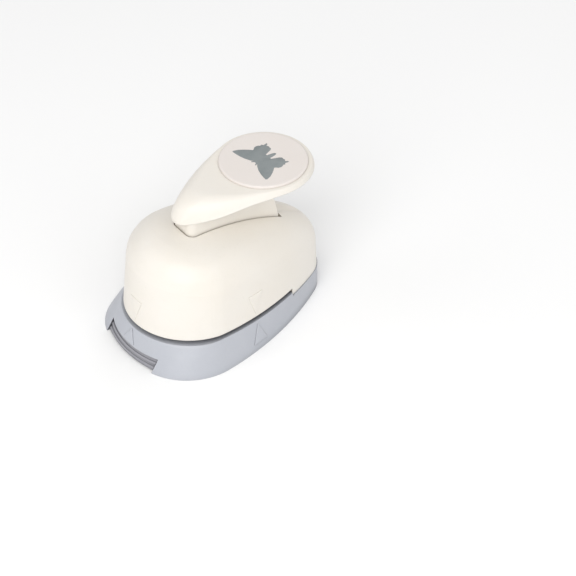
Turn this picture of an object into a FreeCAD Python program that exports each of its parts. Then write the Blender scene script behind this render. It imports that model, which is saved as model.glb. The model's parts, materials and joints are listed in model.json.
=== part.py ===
import FreeCAD, Part
import math
import os
import Sketcher

from FreeCAD import Placement, Rotation, Vector

os.makedirs("parts", exist_ok=True)
doc = FreeCAD.newDocument("craft_punch")

# The frame: +Z up, the paper goes in from -Y, the thumb pad is at +Y,
# the origin is on the table under the middle of the base.

# ---------------------------------------------------------------- sizes, mm
SIZES = {
    # base
    "base_front_y": -44.4,
    "base_rear_y": 43.6,
    "base_width": 62.4,
    "base_wide_y": -19.7,
    "base_corner_radius": 23.8,
    "base_side_radius": 127.0,
    "base_rear_radius": 15.3,
    "base_wall": 1.8,
    "skirt_lean": 5.2,
    "skirt_top_inset": 5.9,
    "table_height": 11.2,
    "deck_underside": 5.6,
    "window_width": 30.4,
    "window_height": 5.0,
    # cover
    "cover_front_y": -39.2,
    "cover_width": 51.0,
    "cover_wide_y": -15.4,
    "cover_corner_radius": 18.0,
    "cover_side_radius": 110.0,
    "cover_rear_inset": 0.3,
    "cover_wall": 2.0,
    "cover_front_lean": 5.0,
    "cover_side_lean": 1.0,
    "cover_rear_lean": 2.4,
    "cover_foot_height": 9.8,
    "mouth_lip_height": 13.0,
    "mouth_end_y": 20.9,
    "roof_height": 47.4,
    "roof_crown_y": -13.9,
    "roof_radius": 90.0,
    "roof_cross_radius": 46.0,
    "roof_edge_radius": 13.0,
    "crease_radius": 3.5,
    "crease_depth": 1.8,
    # die set
    "paper_gap": 1.5,
    "plate_width": 41.4,
    "plate_front_y": -21.4,
    "plate_shoulder_y": 6.0,
    "plate_rear_y": 32.6,
    "plate_rear_width": 24.0,
    "plate_corner_radius": 4.0,
    "die_thickness": 3.5,
    "guide_thickness": 4.7,
    "spacer_front_y": 22.2,
    "motif_span": 25.4,
    "die_clearance": 0.05,
    "guide_clearance": 0.08,
    "plate_fit": 0.2,
    "well_width": 29.0,
    "well_depth": 20.0,
    # lever and its pivot
    "pivot_y": -18.4,
    "pivot_height": 34.0,
    "pivot_radius": 2.0,
    "ear_thickness": 1.6,
    "ear_radius": 4.8,
    "lever_swing": 20.0,
    "lever_reach": 39.9,
    "pad_height": 63.2,
    "pad_tilt": 0.4,
    "rim_nose_height": 52.8,
    "rim_pad_height": 60.7,
    "pad_radius": 20.2,
    "pad_top_radius": 18.2,
    "lever_side_radius": 70.0,
    "nose_radius": 6.0,
    "nose_reach": -1.2,
    "nose_round": 13.0,
    "nose_top_radius": 6.5,
    "lever_wall": 2.2,
    "disc_radius": 17.0,
    "disc_rise": 1.0,
    "disc_seat_depth": 0.9,
    "web_width": 12.2,
    "web_wall": 2.0,
    "web_front_reach": 1.8,
    "web_corner_radius": 3.0,
    "web_rear_reach": 42.6,
    "slot_gap": 0.4,
    "slot_rear_gap": 1.4,
    # punch
    "press_reach": 18.5,
    "press_pin_radius": 2.5,
    "press_gap": 0.04,
    "carrier_thickness": 3.5,
    "carrier_depth": 12.4,
    "carrier_pad_rise": 2.67,
    "post_spread": 32.6,
    "post_radius": 1.8,
    "post_head_radius": 3.2,
    "post_head_height": 1.6,
    "running_gap": 0.06,
    "spring_wire": 0.7,
    "spring_radius": 2.65,
    "spring_turns": 5.5,
    # tray
    "tray_floor": 1.3,
    "tray_lift": 0.5,
    "tray_wall": 1.4,
    "tray_panel_inset": 0.9,
    "tray_rib_inset": 0.5,
    "tray_rib_height": 0.7,
    "tray_gap": 0.5,
    "tray_corner_radius": 3.5,
    "tray_pin_y": 30.1,
    "tray_pin_radius": 1.2,
    "tray_knuckle_radius": 2.4,
    # fasteners
    "screw_radius": 1.5,
    "screw_head_radius": 2.4,
    "screw_head_height": 1.8,
}

sheet = doc.addObject("Spreadsheet::Sheet", "Sizes")
for row, (name, value) in enumerate(SIZES.items(), start=1):
    sheet.set("A%d" % row, name)
    sheet.set("B%d" % row, str(value))
    sheet.setAlias("B%d" % row, name)
doc.recompute()


def size(name):
    return float(sheet.get(name))


# -------------------------------------------------------------- derived places
base_rear_y = size("base_rear_y")
base_front_y = size("base_front_y")
table_z = size("table_height")
die_bottom = table_z - size("die_thickness")
guide_bottom = table_z + size("paper_gap")
guide_top = guide_bottom + size("guide_thickness")
pivot = Vector(0, size("pivot_y"), size("pivot_height"))
half_swing = math.radians(size("lever_swing") / 2)
press_pin_y = pivot.y + size("press_reach") * math.cos(half_swing)
press_pin_z = pivot.z + size("press_reach") * math.sin(half_swing)
punch_stroke = 2 * size("press_reach") * math.sin(half_swing)
carrier_pad_top = press_pin_z - size("press_pin_radius") - size("press_gap")
carrier_top = carrier_pad_top - size("carrier_pad_rise")
carrier_bottom = carrier_top - size("carrier_thickness")
pad_y = pivot.y + size("lever_reach")
nose_y = pivot.y + size("nose_reach") + size("nose_radius")
web_half = size("web_width") / 2
web_front_y = pivot.y + size("web_front_reach")
ear_inner = web_half + 0.3
ear_outer = ear_inner + size("ear_thickness")
post_x = size("post_spread") / 2


# ------------------------------------------------------------------- helpers
def arc(centre, radius, start, end, z=0.0):
    """Edge of a circle about a vertical axis, from angle start to end, in radians."""
    circle = Part.Circle(Vector(centre[0], centre[1], z), Vector(0, 0, 1), radius)
    return Part.Arc(circle, start, end).toShape()


def angle_of(origin, target):
    return math.atan2(target[1] - origin[1], target[0] - origin[0])


def egg_wire(half_width, front_y, rear_y, wide_y, corner, side, rear, z):
    """Closed outline of six tangent arcs, widest at wide_y, symmetric about X = 0."""
    corner_centre = (half_width - corner, wide_y)
    reach = wide_y - front_y
    front = (corner_centre[0] ** 2 + reach ** 2 - corner ** 2) / (2 * (reach - corner))
    if front < 0:
        raise ValueError("the front of the outline is too short for its corners")
    front_centre = (0.0, front_y + front)
    rear_centre = (0.0, rear_y - rear)
    # the side arc touches the corner arc and the rear arc from inside
    span = math.dist(corner_centre, rear_centre)
    to_corner = side - corner
    to_rear = side - rear
    along = (to_corner ** 2 - to_rear ** 2 + span ** 2) / (2 * span)
    across = math.sqrt(to_corner ** 2 - along ** 2)
    unit = ((rear_centre[0] - corner_centre[0]) / span, (rear_centre[1] - corner_centre[1]) / span)
    side_centre = (
        corner_centre[0] + along * unit[0] - across * unit[1],
        corner_centre[1] + along * unit[1] + across * unit[0],
    )
    if side_centre[0] > 0:
        side_centre = (
            corner_centre[0] + along * unit[0] + across * unit[1],
            corner_centre[1] + along * unit[1] - across * unit[0],
        )
    turn_front = angle_of(front_centre, corner_centre)
    if front < corner:
        turn_front = angle_of(corner_centre, front_centre)
    turn_corner = angle_of(side_centre, corner_centre)
    turn_side = angle_of(side_centre, rear_centre)
    mirror = lambda centre: (-centre[0], centre[1])
    edges = [
        arc(front_centre, front, -math.pi - turn_front, turn_front, z),
        arc(corner_centre, corner, turn_front, turn_corner, z),
        arc(side_centre, side, turn_corner, turn_side, z),
        arc(rear_centre, rear, turn_side, math.pi - turn_side, z),
        arc(mirror(side_centre), side, math.pi - turn_side, math.pi - turn_corner, z),
        arc(mirror(corner_centre), corner, math.pi - turn_corner, math.pi - turn_front, z),
    ]
    return Part.Wire(edges)


def base_wire(inset, z, narrow=0.0):
    """Outline of the base, inset all round, and narrowed towards the cover's outline."""
    blend = narrow / size("skirt_top_inset")
    cover_half = size("cover_width") / 2 + 0.4
    base_half = size("base_width") / 2
    mix = lambda first, last: first + (last - first) * blend
    return egg_wire(
        mix(base_half, cover_half) - inset,
        mix(base_front_y, size("cover_front_y") - 0.4) + inset,
        base_rear_y - inset,
        mix(size("base_wide_y"), size("cover_wide_y") - 1.5),
        mix(size("base_corner_radius"), size("cover_corner_radius")) - inset,
        mix(size("base_side_radius"), size("cover_side_radius") + 1.0) - inset,
        size("base_rear_radius") - inset,
        z,
    )


def cover_wire(inset, z, lift=0.0):
    """Outline of the cover, inset all round; lift goes from 0 at its foot to 1 above its roof."""
    rear_inset = inset + size("cover_rear_inset")
    side_lean = size("cover_side_lean") * lift
    return egg_wire(
        size("cover_width") / 2 - inset - side_lean,
        size("cover_front_y") + inset + size("cover_front_lean") * lift,
        base_rear_y - rear_inset - size("cover_rear_lean") * lift,
        size("cover_wide_y") + size("cover_front_lean") * lift * 0.6,
        size("cover_corner_radius") - inset - side_lean,
        size("cover_side_radius") - inset,
        size("base_rear_radius") - rear_inset - side_lean,
        z,
    )


ALONG_X = Rotation(Vector(0, 1, 0), 90)


def box(x0, x1, y0, y1, z0, z1):
    return Part.makeBox(x1 - x0, y1 - y0, z1 - z0, Vector(x0, y0, z0))


def rod_x(y, z, radius, x0, x1):
    return Part.makeCylinder(radius, x1 - x0, Vector(x0, y, z), Vector(1, 0, 0))


def rod_z(x, y, radius, z0, z1):
    return Part.makeCylinder(radius, z1 - z0, Vector(x, y, z0))


def feature(label, shape, place=Vector(0, 0, 0)):
    """Sub-part whose shape is worked out here from the sheet, put at its place."""
    item = doc.addObject("Part::Feature", label)
    item.Label = label
    item.Shape = shape
    item.Placement = Placement(place, Rotation())
    sub_parts.append(item)
    return item


sub_parts = []


# ------------------------------------------------------------ parametric help
def expression_value(text):
    return float(sheet.evalExpression(text.replace("Sizes.", "")))


def bind(item, **expressions):
    """Bind properties to the sheet; a double underscore stands for a dot."""
    for name, text in expressions.items():
        item.setExpression(name.replace("__", "."), text)


def new_body(label):
    body = doc.addObject("PartDesign::Body", label)
    body.Label = label
    body.Placement = Placement(Vector(0, 0, 0), Rotation())
    sub_parts.append(body)
    return body


def sketch_on(body, name, role, offset="0"):
    """Sketch on one of the body's own origin planes, moved along its normal."""
    plane = next(item for item in body.Origin.OriginFeatures if item.Role == role)
    sketch = body.newObject("Sketcher::SketchObject", name)
    sketch.AttachmentSupport = (plane, [""])
    sketch.MapMode = "FlatFace"
    bind(sketch, AttachmentOffset__Base__z=offset)
    return sketch


def tie(sketch, kind, arguments, text):
    index = sketch.addConstraint(Sketcher.Constraint(kind, *arguments, expression_value(text)))
    sketch.setExpression("Constraints[%d]" % index, text)


def polygon(sketch, points):
    """Closed polygon whose corners are tied to the sheet, each given as two expressions."""
    values = [Vector(expression_value(x), expression_value(y), 0) for x, y in points]
    first = sketch.GeometryCount
    count = len(points)
    for index in range(count):
        line = Part.LineSegment(values[index], values[(index + 1) % count])
        sketch.addGeometry(line, False)
    for index in range(count):
        following = first + (index + 1) % count
        sketch.addConstraint(Sketcher.Constraint("Coincident", first + index, 2, following, 1))
    for index, (x, y) in enumerate(points):
        tie(sketch, "DistanceX", (-1, 1, first + index, 1), x)
        tie(sketch, "DistanceY", (-1, 1, first + index, 1), y)


def circle(sketch, x, y, radius):
    centre = Vector(expression_value(x), expression_value(y), 0)
    index = sketch.addGeometry(Part.Circle(centre, Vector(0, 0, 1), expression_value(radius)), False)
    tie(sketch, "Radius", (index,), radius)
    tie(sketch, "DistanceX", (-1, 1, index, 3), x)
    tie(sketch, "DistanceY", (-1, 1, index, 3), y)


def pad(body, sketch, length, midplane=False):
    item = body.newObject("PartDesign::Pad", sketch.Name + "_pad")
    item.Profile = sketch
    item.Midplane = midplane
    bind(item, Length=length)
    doc.recompute()
    return item


def pocket(body, sketch, length, upward=False):
    """Pocket below the sketch, or above it; it has to take material away."""
    before = body.Shape.Volume
    item = body.newObject("PartDesign::Pocket", sketch.Name + "_pocket")
    item.Profile = sketch
    item.Reversed = upward
    bind(item, Length=length)
    doc.recompute()
    if not body.Shape.Volume < before:
        raise RuntimeError("the pocket %s cuts nothing" % item.Name)
    return item


def round_edges(body, base, radius, wanted):
    names = ["Edge%d" % number for number, edge in enumerate(base.Shape.Edges, start=1) if wanted(edge)]
    item = body.newObject("PartDesign::Fillet", base.Name + "_round")
    item.Base = (base, names)
    bind(item, Radius=radius)
    doc.recompute()
    return item


def is_upright(edge):
    return edge.BoundBox.ZLength > 0.5 and edge.BoundBox.XLength < 1e-4 and edge.BoundBox.YLength < 1e-4


def is_along_x(edge):
    return edge.BoundBox.XLength > 0.5 and edge.BoundBox.YLength < 1e-4 and edge.BoundBox.ZLength < 1e-4


# heights and places that several pieces share, as expressions
TABLE = "Sizes.table_height"
DIE_BOTTOM = "Sizes.table_height - Sizes.die_thickness"
GUIDE_BOTTOM = "Sizes.table_height + Sizes.paper_gap"
GUIDE_TOP = "Sizes.table_height + Sizes.paper_gap + Sizes.guide_thickness"
SCREW = "Sizes.screw_radius"
SCREW_HEAD = "Sizes.screw_head_radius"


# -------------------------------------------------------------- the butterfly
# one half of the outline, as shares of half the span: right of the body, rearwards
MOTIF_HALF = [
    (0.000, -0.330), (0.045, -0.345), (0.105, -0.430), (0.140, -0.405), (0.110, -0.335),
    (0.215, -0.405), (0.400, -0.490), (0.615, -0.550), (0.830, -0.585), (0.980, -0.595),
    (1.000, -0.540), (0.940, -0.375), (0.830, -0.220), (0.720, -0.090), (0.625, 0.000),
    (0.640, 0.045), (0.715, 0.110), (0.740, 0.200), (0.720, 0.290), (0.675, 0.330),
    (0.700, 0.400), (0.635, 0.450), (0.663, 0.590), (0.600, 0.585), (0.550, 0.505),
    (0.470, 0.550), (0.400, 0.530), (0.325, 0.540), (0.260, 0.470), (0.205, 0.330),
    (0.155, 0.205), (0.095, 0.210), (0.085, 0.350), (0.050, 0.480), (0.000, 0.520),
]


def motif_corners(grow):
    """Corners of the outline, each moved out along the bisector of its two edges."""
    scale = size("motif_span") / 2
    right = [Vector(x * scale, y * scale, 0) for x, y in MOTIF_HALF]
    ring = right + [Vector(-point.x, point.y, 0) for point in reversed(right[1:-1])]
    moved = []
    for index, point in enumerate(ring):
        before = (point - ring[index - 1]).normalize()
        after = (ring[(index + 1) % len(ring)] - point).normalize()
        out_before = Vector(before.y, -before.x, 0)
        out_after = Vector(after.y, -after.x, 0)
        bisector = (out_before + out_after).normalize()
        moved.append(point + bisector * (grow / max(bisector.dot(out_before), 0.4)))
    return moved


def motif_face(grow, z):
    """The butterfly as a face at height z, grown by a clearance all round."""
    ring = [point + Vector(0, 0, z) for point in motif_corners(grow)]
    return Part.Face(Part.makePolygon(ring + ring[:1]))


def motif_prism(grow, z0, z1):
    return motif_face(grow, z0).extrude(Vector(0, 0, z1 - z0))


# -------------------------------------------------------------- screw places
def both_sides(x, y):
    return [(-x, y), (x, y)]


base_screw_places = both_sides(17.0, -14.5) + both_sides(14.0, 14.0)
die_screw_places = both_sides(8.0, 28.0)
bracket_screw_places = both_sides(ear_outer + 3.0, pivot.y)
cover_front_places = both_sides(17.6, pivot.y + 2.5)
cover_rear_places = both_sides(6.5, base_rear_y - 6.6)
punch_screw_places = both_sides(5.5, 0.0)
post_places = both_sides(post_x, 0.0)
BOSS_RADIUS = 2.6
BOSS_DEPTH = 7.0
RECESS_HALF = 0.35
RECESS_REACH = 1.7
RECESS_DEPTH = 1.0


def screw_group(places, head_z, tip_z):
    """Pan head screws as one group: the head lies beyond head_z, away from the tip."""
    away = -1 if tip_z > head_z else 1
    solids = []
    for x, y in places:
        head_end = head_z + away * size("screw_head_height")
        head = rod_z(x, y, size("screw_head_radius"), min(head_z, head_end), max(head_z, head_end))
        shank = rod_z(x, y, size("screw_radius"), min(head_z, tip_z), max(head_z, tip_z))
        recess = sorted((head_end, head_end - away * RECESS_DEPTH))
        slot = box(x - RECESS_HALF, x + RECESS_HALF, y - RECESS_REACH, y + RECESS_REACH, *recess)
        cross = box(x - RECESS_REACH, x + RECESS_REACH, y - RECESS_HALF, y + RECESS_HALF, *recess)
        solids.append(head.fuse(shank).cut(slot).cut(cross).removeSplitter())
    return Part.makeCompound(solids)


def drill(shape, places, radius, z0, z1):
    for x, y in places:
        shape = shape.cut(rod_z(x, y, radius, z0, z1))
    return shape


# -------------------------------------------------------------- base housing
tray_pin_z = size("tray_lift") + size("tray_knuckle_radius")
tongue_half = 7.9
lug_inner = tongue_half + size("tray_gap")
lug_outer = lug_inner + 3.2
rear_head_z = 4.8


def skirt_solid():
    """The base's outer form: a leaning skirt that rounds over to the table."""
    lean = size("skirt_lean")
    rounding = size("skirt_top_inset") - lean
    wires = []
    for degrees in range(0, 91, 15):
        rise = math.sin(math.radians(degrees))
        narrow = lean * rise + rounding * (1 - math.cos(math.radians(degrees)))
        wires.append(base_wire(0.0, table_z * rise, narrow))
    return Part.makeLoft(wires, True, False)


def plate_solid(grow, z0, z1):
    """Outline shared by the steel plates and their pocket, with rounded corners."""
    half = size("plate_width") / 2 + grow
    rear_half = size("plate_rear_width") / 2 + grow
    front = size("plate_front_y") - grow
    rear = size("plate_rear_y") + grow
    shoulder = size("plate_shoulder_y")
    right = [(half, front), (half, shoulder), (rear_half, rear)]
    points = right + [(-x, y) for x, y in reversed(right)]
    ring = [Vector(x, y, z0) for x, y in points]
    solid = Part.Face(Part.makePolygon(ring + ring[:1])).extrude(Vector(0, 0, z1 - z0))
    corners = [edge for edge in solid.Edges if is_upright(edge)]
    return solid.makeFillet(size("plate_corner_radius") + grow, corners)


def inner_form(inset):
    """Inner side of the skirt, up to the underside of the deck, inset from the base's outline."""
    deck = size("deck_underside")
    wires = [base_wire(inset, -1.0, 0.0), base_wire(inset, deck, size("skirt_lean"))]
    return Part.makeLoft(wires, True, True)


def make_base():
    body = skirt_solid()
    deck = size("deck_underside")
    wall = size("base_wall")
    hollow = inner_form(wall)
    # behind the tray the base stays solid for the cover's screws
    keep_from = size("tray_pin_y") + size("tray_knuckle_radius") + size("tray_gap")
    body = body.cut(hollow.cut(box(-40, 40, keep_from, base_rear_y + 10, -2, deck + 1)))
    # lugs that hold the ends of the tray's hinge pin, round below where the tray's rear wall swings past
    pin_y = size("tray_pin_y")
    lug_radius = size("tray_knuckle_radius")
    for x0, x1 in ((-lug_outer, -lug_inner), (lug_inner, lug_outer)):
        body = body.fuse(rod_x(pin_y, tray_pin_z, lug_radius, x0, x1))
        body = body.fuse(box(x0, x1, pin_y - lug_radius, keep_from + 0.5, tray_pin_z, deck + 0.5))
        body = body.fuse(box(x0, x1, pin_y, keep_from + 0.5, size("tray_lift"), deck + 0.5))
    body = body.cut(rod_x(size("tray_pin_y"), tray_pin_z, size("tray_pin_radius"), -lug_outer, lug_outer))
    # pocket for the die plate and the well under its opening
    body = body.cut(plate_solid(size("plate_fit"), die_bottom, table_z + 5))
    half = size("well_width") / 2
    depth = size("well_depth") / 2
    body = body.cut(box(-half, half, -depth, depth, 0, table_z))
    # step that the foot of the cover stands in, behind the mouth
    inner_step = Part.Face(cover_wire(size("cover_wall") + 0.2, 0.0)).extrude(Vector(0, 0, 40))
    step = box(-40, 40, size("mouth_end_y") - 0.2, base_rear_y + 5, size("cover_foot_height"), 40)
    body = body.cut(step.cut(inner_step))
    # window in the front of the skirt, open at the bottom
    half = size("window_width") / 2
    body = body.cut(box(-half, half, base_front_y - 5, base_front_y + 14, -1, size("window_height")))
    # screw holes
    body = drill(body, base_screw_places, size("screw_radius") + 0.1, 0, table_z)
    body = drill(body, cover_rear_places, size("screw_radius") + 0.1, -1, table_z + 1)
    body = drill(body, cover_rear_places, size("screw_head_radius") + 0.2, -1, rear_head_z)
    return body.removeSplitter()


feature("base_housing", make_base())
feature("base_screws", screw_group(base_screw_places, size("deck_underside"), die_bottom + 2.4))
feature("cover_screws_rear", screw_group(cover_rear_places, rear_head_z, table_z + BOSS_DEPTH - 1))


# -------------------------------------------------------------- catch tray
def front_form(inset, z0, z1):
    """Slice that follows the skirt's outer face, which leans back more slowly than the inner one."""
    slope = size("skirt_lean") / table_z
    return Part.makeLoft([base_wire(inset, z0, slope * z0), base_wire(inset, z1, slope * z1)], True, True)


def make_tray():
    gap = size("base_wall") + size("tray_gap")
    low = size("tray_lift")
    high = size("deck_underside") - size("tray_gap")
    rear = size("tray_pin_y") - size("tray_knuckle_radius") - size("tray_gap")
    wall = size("tray_wall")
    floor_top = low + size("tray_floor")
    hollow = inner_form(gap + wall).common(box(-40, 40, -60, rear - wall, floor_top, 10))
    body = inner_form(gap).common(box(-40, 40, -60, rear, low, high))
    # rear corners, round so that they clear the base's wall as the tray swings down
    at_rear = [edge for edge in body.Edges if min(v.Y for v in edge.Vertexes) > rear - 0.01]
    corners = [edge for edge in at_rear if edge.BoundBox.ZLength > 1]
    body = body.makeFillet(size("tray_corner_radius"), corners)
    # front panel that fills the window of the base, with ribs for a fingertip
    reach = size("window_width") / 2 - size("tray_gap")
    window = box(-reach, reach, base_front_y - 5, base_front_y + 14, -1, 10)
    panel_top = size("window_height") - size("tray_gap")
    body = body.fuse(front_form(size("tray_panel_inset"), low, panel_top).common(window))
    for z in (low + 0.7, low + 2.3):
        rib = front_form(size("tray_rib_inset"), z, z + size("tray_rib_height"))
        body = body.fuse(rib.common(window))
    body = body.cut(hollow)
    # tongue and knuckle round the hinge pin
    tongue = box(-tongue_half, tongue_half, rear - wall, size("tray_pin_y"), low, low + 2.0)
    knuckle = rod_x(size("tray_pin_y"), tray_pin_z, size("tray_knuckle_radius"), -tongue_half, tongue_half)
    body = body.fuse(tongue).fuse(knuckle)
    bore = size("tray_pin_radius") + size("running_gap")
    return body.cut(rod_x(size("tray_pin_y"), tray_pin_z, bore, -20, 20)).removeSplitter()


feature("catch_tray", make_tray())

tray_pin = doc.addObject("Part::Cylinder", "tray_hinge_pin")
tray_pin.Label = "tray_hinge_pin"
bind(tray_pin, Radius="Sizes.tray_pin_radius")
tray_pin.Height = 2 * lug_outer
tray_pin.Placement = Placement(Vector(-lug_outer, size("tray_pin_y"), tray_pin_z), ALONG_X)
sub_parts.append(tray_pin)


# -------------------------------------------------------------- steel plates
def make_die_plate():
    body = plate_solid(0.0, die_bottom, table_z)
    body = body.cut(motif_prism(size("die_clearance"), die_bottom - 1, table_z + 1))
    body = drill(body, base_screw_places, size("screw_radius"), die_bottom - 1, die_bottom + 2.4)
    body = drill(body, die_screw_places, size("screw_radius") + 0.1, die_bottom - 1, table_z + 1)
    return drill(body, die_screw_places, size("screw_head_radius") + 0.1, die_bottom - 1, die_head_z)


def make_guide_plate():
    body = plate_solid(0.0, guide_bottom, guide_top)
    body = body.cut(motif_prism(size("guide_clearance"), guide_bottom - 1, guide_top + 1))
    threaded = die_screw_places + bracket_screw_places + post_places
    body = drill(body, threaded, size("screw_radius"), guide_bottom - 1, guide_top + 1)
    body = drill(body, cover_front_places, size("screw_radius") + 0.1, guide_bottom - 1, guide_top + 1)
    return drill(body, cover_front_places, size("screw_head_radius") + 0.1, guide_bottom - 1, guide_head_z)


die_head_z = die_bottom + size("screw_head_height")
guide_head_z = guide_bottom + size("screw_head_height")
feature("die_plate", make_die_plate())
feature("guide_plate", make_guide_plate())
feature("die_screws", screw_group(die_screw_places, die_head_z, guide_top - 0.4))
feature("cover_screws_front", screw_group(cover_front_places, guide_head_z, guide_top + BOSS_DEPTH - 1))

spacer = new_body("die_spacer")
outline = sketch_on(spacer, "spacer_outline", "XY_Plane", TABLE)
front_half = "(Sizes.plate_rear_width + (Sizes.plate_width - Sizes.plate_rear_width)" \
    " * (Sizes.plate_rear_y - Sizes.spacer_front_y) / (Sizes.plate_rear_y - Sizes.plate_shoulder_y)) / 2"
polygon(outline, [
    ("-" + front_half, "Sizes.spacer_front_y"),
    (front_half, "Sizes.spacer_front_y"),
    ("Sizes.plate_rear_width / 2", "Sizes.plate_rear_y"),
    ("-Sizes.plate_rear_width / 2", "Sizes.plate_rear_y"),
])
block = pad(spacer, outline, "Sizes.paper_gap")
holes = sketch_on(spacer, "spacer_holes", "XY_Plane", GUIDE_BOTTOM)
for x, y in die_screw_places:
    circle(holes, str(x), str(y), SCREW + " + 0.1")
pocket(spacer, holes, "Sizes.paper_gap")


# -------------------------------------------------------------- pivot bracket
bracket = new_body("pivot_bracket")
foot_outer = "Sizes.web_width / 2 + 0.3 + Sizes.ear_thickness + 5.8"
EAR_IN = "Sizes.web_width / 2 + 0.3"
EAR_OUT = "Sizes.web_width / 2 + 0.3 + Sizes.ear_thickness"
FOOT_TOP = GUIDE_TOP + " + Sizes.ear_thickness"
EAR_TOP = "Sizes.pivot_height + Sizes.ear_radius"
section = sketch_on(bracket, "bracket_section", "XZ_Plane", "-Sizes.pivot_y")
polygon(section, [
    ("-(" + foot_outer + ")", GUIDE_TOP),
    (foot_outer, GUIDE_TOP),
    (foot_outer, FOOT_TOP),
    (EAR_OUT, FOOT_TOP),
    (EAR_OUT, EAR_TOP),
    (EAR_IN, EAR_TOP),
    (EAR_IN, FOOT_TOP),
    ("-(" + EAR_IN + ")", FOOT_TOP),
    ("-(" + EAR_IN + ")", EAR_TOP),
    ("-(" + EAR_OUT + ")", EAR_TOP),
    ("-(" + EAR_OUT + ")", FOOT_TOP),
    ("-(" + foot_outer + ")", FOOT_TOP),
])
ears = pad(bracket, section, "2 * Sizes.ear_radius", midplane=True)
ear_ends = lambda edge: is_along_x(edge) and edge.BoundBox.ZMin > size("pivot_height")
rounded = round_edges(bracket, ears, "Sizes.ear_radius - 0.1", ear_ends)
bores = sketch_on(bracket, "pivot_bores", "YZ_Plane", EAR_OUT + " + 1")
circle(bores, "Sizes.pivot_y", "Sizes.pivot_height", "Sizes.pivot_radius")
pocket(bracket, bores, "2 * (" + EAR_OUT + ") + 2")
foot_holes = sketch_on(bracket, "foot_holes", "XY_Plane", FOOT_TOP)
for x, y in bracket_screw_places:
    circle(foot_holes, str(round(x, 3)), "Sizes.pivot_y", SCREW + " + 0.1")
pocket(bracket, foot_holes, "Sizes.ear_thickness")
bracket_head_z = guide_top + size("ear_thickness")
feature("bracket_screws", screw_group(bracket_screw_places, bracket_head_z, guide_bottom + 0.5))

clip_x = ear_outer + 0.15
pin_end = clip_x + 1.6
pivot_pin = doc.addObject("Part::Cylinder", "pivot_rod")
bind(pivot_pin, Radius="Sizes.pivot_radius")
pivot_pin.Height = 2 * pin_end
pivot_pin.Placement = Placement(Vector(-pin_end, pivot.y, pivot.z), ALONG_X)
CLIP_THICKNESS = 0.6
CLIP_GROOVE = 0.4
grooves = []
clips = []
for x0 in (-clip_x - CLIP_THICKNESS, clip_x):
    x1 = x0 + CLIP_THICKNESS
    ring = rod_x(pivot.y, pivot.z, size("pivot_radius") + 1.4, x0, x1)
    bore = rod_x(pivot.y, pivot.z, size("pivot_radius") - CLIP_GROOVE, x0, x1)
    mouth = box(x0, x1, pivot.y - 1.2, pivot.y + 1.2, pivot.z - 5, pivot.z)
    clips.append(ring.cut(bore).cut(mouth))
    grooves.append(rod_x(pivot.y, pivot.z, size("pivot_radius") + 1, x0, x1).cut(bore))
groove_rings = doc.addObject("Part::Feature", "pin_grooves")
groove_rings.Shape = Part.makeCompound(grooves)
grooved_pin = doc.addObject("Part::Cut", "pivot_pin")
grooved_pin.Label = "pivot_pin"
grooved_pin.Base = pivot_pin
grooved_pin.Tool = groove_rings
sub_parts.append(grooved_pin)
feature("pivot_clips", Part.makeCompound(clips))


# -------------------------------------------------------------- lever
def teardrop(pad_radius, nose_radius, side_radius, length):
    """Outline in its own plane: pad circle at the origin, nose circle at -length, bulged sides."""
    to_pad = side_radius - pad_radius
    to_nose = side_radius - nose_radius
    centre_y = (to_nose ** 2 - to_pad ** 2 - length ** 2) / (2 * length)
    centre = (-math.sqrt(to_pad ** 2 - centre_y ** 2), centre_y)
    turn_pad = angle_of(centre, (0, 0))
    turn_nose = angle_of(centre, (0, -length))
    edges = [
        arc(centre, side_radius, turn_nose, turn_pad),
        arc((0, 0), pad_radius, turn_pad, math.pi - turn_pad),
        arc((-centre[0], centre[1]), side_radius, math.pi - turn_pad, math.pi - turn_nose),
        arc((0, -length), nose_radius, math.pi - turn_nose, 2 * math.pi + turn_nose),
    ]
    return Part.Wire(edges)


def lever_solid(inset, drop):
    """Crowned teardrop: upright at its foot, rounding over to the flat top."""
    length = pad_y - nose_y
    foot_z = size("rim_nose_height") - 0.8 - drop
    top_z = size("pad_height") - size("disc_rise") - inset
    wires = []
    for degrees in range(0, 91, 15):
        share = math.sin(math.radians(degrees))
        round_over = 1 - math.cos(math.radians(degrees))
        pad_radius = size("pad_radius") - (size("pad_radius") - size("pad_top_radius")) * round_over
        nose = size("nose_radius") - (size("nose_radius") - size("nose_top_radius")) * round_over
        reach = length - size("nose_round") * round_over
        nose_inset = inset * (1 - 0.35 * round_over)
        side = size("lever_side_radius") - inset
        outline = teardrop(pad_radius - inset, nose - nose_inset, side, reach)
        height = foot_z + (top_z - foot_z) * share
        turn = Rotation(Vector(1, 0, 0), size("pad_tilt") * share)
        outline.Placement = Placement(Vector(0, pad_y, height), turn)
        wires.append(outline)
    return Part.makeLoft(wires, True, False)


def below_rim():
    """Everything under the lever's rim, whose edge sweeps up from the nose to the pad."""
    nose_z = size("rim_nose_height")
    climb = size("rim_pad_height") - nose_z
    span = pad_y - nose_y
    shares = [
        (-1.0, 0.0), (-0.1, 0.0), (0.1, 0.22), (0.3, 0.48),
        (0.5, 0.72), (0.75, 0.87), (1.0, 0.94), (1.8, 1.0),
    ]
    points = [Vector(-40, nose_y + span * along, nose_z + climb * up) for along, up in shares]
    rim = Part.BSplineCurve()
    rim.interpolate(points)
    low = pivot.z - 20
    corners = [points[-1], Vector(-40, points[-1].y, low), Vector(-40, points[0].y, low), points[0]]
    edges = [rim.toShape()] + [Part.makeLine(first, last) for first, last in zip(corners, corners[1:])]
    return Part.Face(Part.Wire(edges)).extrude(Vector(80, 0, 0))


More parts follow.
